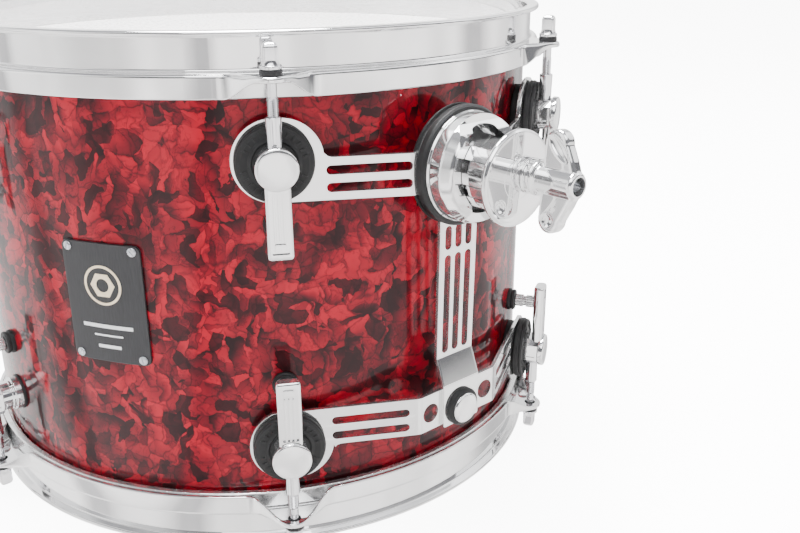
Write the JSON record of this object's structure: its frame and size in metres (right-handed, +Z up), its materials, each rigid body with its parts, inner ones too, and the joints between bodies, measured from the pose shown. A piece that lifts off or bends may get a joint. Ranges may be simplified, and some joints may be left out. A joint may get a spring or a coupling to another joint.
{
  "type": "tom tom drum",
  "caption": "Short cylindrical drum with two tensioned heads, flanged hoops, lugs and a bent-plate suspension mount with a wing-nut arm clamp.",
  "frame": {"origin": "centre of the lower (resonant) hoop's rim plane, on the drum's axis", "axes": "+Z up the drum's axis to the batter head, -Y towards the arm clamp, +X to the right seen from the clamp side"},
  "size_m": [0.35, 0.3862, 0.24],
  "materials": {
    "birch_ply": "satin lacquered ply",
    "pearl_wrap": "high gloss pearl flake wrap",
    "chrome": "mirror chrome plate",
    "chrome_rod": "bright plated thread",
    "head_film": "satin polyester film",
    "aluminium": "plain rolled",
    "black_nylon": "moulded",
    "black_rubber": "matt moulded",
    "zinc_steel": "zinc plated",
    "polished_steel": "polished",
    "badge_black": "satin",
    "badge_gold": "pale satin",
    "badge_white": "printed"
  },
  "bodies": {
    "drum": {"shell": "birch_ply", "shell_wrap": "pearl_wrap", "vent_grommet": "chrome", "batter_head_film": "head_film", "batter_flesh_hoop": "aluminium", "batter_hoop": "chrome", "batter_rod_washers": "black_nylon", "resonant_head_film": "head_film", "resonant_flesh_hoop": "aluminium", "resonant_hoop": "chrome", "resonant_rod_washers": "black_nylon", "batter_lug_1": "chrome", "batter_lug_2": "chrome", "batter_lug_3": "chrome", "batter_lug_4": "chrome", "batter_lug_5": "chrome", "batter_lug_6": "chrome", "resonant_lug_1": "chrome", "resonant_lug_2": "chrome", "resonant_lug_3": "chrome", "resonant_lug_4": "chrome", "resonant_lug_5": "chrome", "resonant_lug_6": "chrome", "lug_nuts": "chrome_rod", "lug_gaskets": "black_rubber", "lug_studs": "chrome", "lug_grommets": "black_rubber", "lug_screws": "zinc_steel", "lug_screw_washers": "zinc_steel", "isolation_mounts": "black_rubber", "mount_frame_upper": "polished_steel", "mount_frame_lower": "polished_steel", "joint_rubber": "black_rubber", "joint_bolt": "chrome", "joint_nut": "zinc_steel", "bracket_gasket": "black_rubber", "bracket_base": "chrome", "fixed_jaw": "chrome", "clamp_stud": "zinc_steel", "bracket_screws": "zinc_steel", "badge_plate": "badge_black", "badge_emblem": "badge_gold", "badge_lines": "badge_white", "badge_screws": "zinc_steel"},
    "batter_rod_1": {"batter_rod_1": "chrome_rod"},
    "batter_rod_2": {"batter_rod_2": "chrome_rod"},
    "batter_rod_3": {"batter_rod_3": "chrome_rod"},
    "batter_rod_4": {"batter_rod_4": "chrome_rod"},
    "batter_rod_5": {"batter_rod_5": "chrome_rod"},
    "batter_rod_6": {"batter_rod_6": "chrome_rod"},
    "resonant_rod_1": {"resonant_rod_1": "chrome_rod"},
    "resonant_rod_2": {"resonant_rod_2": "chrome_rod"},
    "resonant_rod_3": {"resonant_rod_3": "chrome_rod"},
    "resonant_rod_4": {"resonant_rod_4": "chrome_rod"},
    "resonant_rod_5": {"resonant_rod_5": "chrome_rod"},
    "resonant_rod_6": {"resonant_rod_6": "chrome_rod"},
    "clamp": {"clamp_plate": "chrome", "wing_nut_washer": "chrome"},
    "wing_nut": {"wing_nut": "chrome"}
  },
  "joints": [
    {"name": "batter_rod_1_turn", "type": "hinge", "parent": "drum", "child": "batter_rod_1", "pos_m": [0.0836, -0.1448, 0.226], "axis": [0, 0, 1], "continuous": true},
    {"name": "batter_rod_2_turn", "type": "hinge", "parent": "drum", "child": "batter_rod_2", "pos_m": [0.1672, 0, 0.226], "axis": [0, 0, 1], "continuous": true},
    {"name": "batter_rod_3_turn", "type": "hinge", "parent": "drum", "child": "batter_rod_3", "pos_m": [0.0836, 0.1448, 0.226], "axis": [0, 0, 1], "continuous": true},
    {"name": "batter_rod_4_turn", "type": "hinge", "parent": "drum", "child": "batter_rod_4", "pos_m": [-0.0836, 0.1448, 0.226], "axis": [0, 0, 1], "continuous": true},
    {"name": "batter_rod_5_turn", "type": "hinge", "parent": "drum", "child": "batter_rod_5", "pos_m": [-0.1672, 0, 0.226], "axis": [0, 0, 1], "continuous": true},
    {"name": "batter_rod_6_turn", "type": "hinge", "parent": "drum", "child": "batter_rod_6", "pos_m": [-0.0836, -0.1448, 0.226], "axis": [0, 0, 1], "continuous": true},
    {"name": "resonant_rod_1_turn", "type": "hinge", "parent": "drum", "child": "resonant_rod_1", "pos_m": [0.0836, -0.1448, 0.014], "axis": [0, 0, -1], "continuous": true},
    {"name": "resonant_rod_2_turn", "type": "hinge", "parent": "drum", "child": "resonant_rod_2", "pos_m": [0.1672, 0, 0.014], "axis": [0, 0, -1], "continuous": true},
    {"name": "resonant_rod_3_turn", "type": "hinge", "parent": "drum", "child": "resonant_rod_3", "pos_m": [0.0836, 0.1448, 0.014], "axis": [0, 0, -1], "continuous": true},
    {"name": "resonant_rod_4_turn", "type": "hinge", "parent": "drum", "child": "resonant_rod_4", "pos_m": [-0.0836, 0.1448, 0.014], "axis": [0, 0, -1], "continuous": true},
    {"name": "resonant_rod_5_turn", "type": "hinge", "parent": "drum", "child": "resonant_rod_5", "pos_m": [-0.1672, 0, 0.014], "axis": [0, 0, -1], "continuous": true},
    {"name": "resonant_rod_6_turn", "type": "hinge", "parent": "drum", "child": "resonant_rod_6", "pos_m": [-0.0836, -0.1448, 0.014], "axis": [0, 0, -1], "continuous": true},
    {"name": "clamp_slide", "type": "slide", "parent": "drum", "child": "clamp", "axis": [0, -1, 0], "range_m": [0, 0.0025]},
    {"name": "wing_turn", "type": "hinge", "parent": "clamp", "child": "wing_nut", "pos_m": [0.008, -0.205, 0.178], "axis": [0, -1, 0], "range_deg": [0, 720]}
  ],
  "couplings": [
    {"joint": "wing_turn", "follows": "clamp_slide", "rad_per_m": 5026.5}
  ]
}
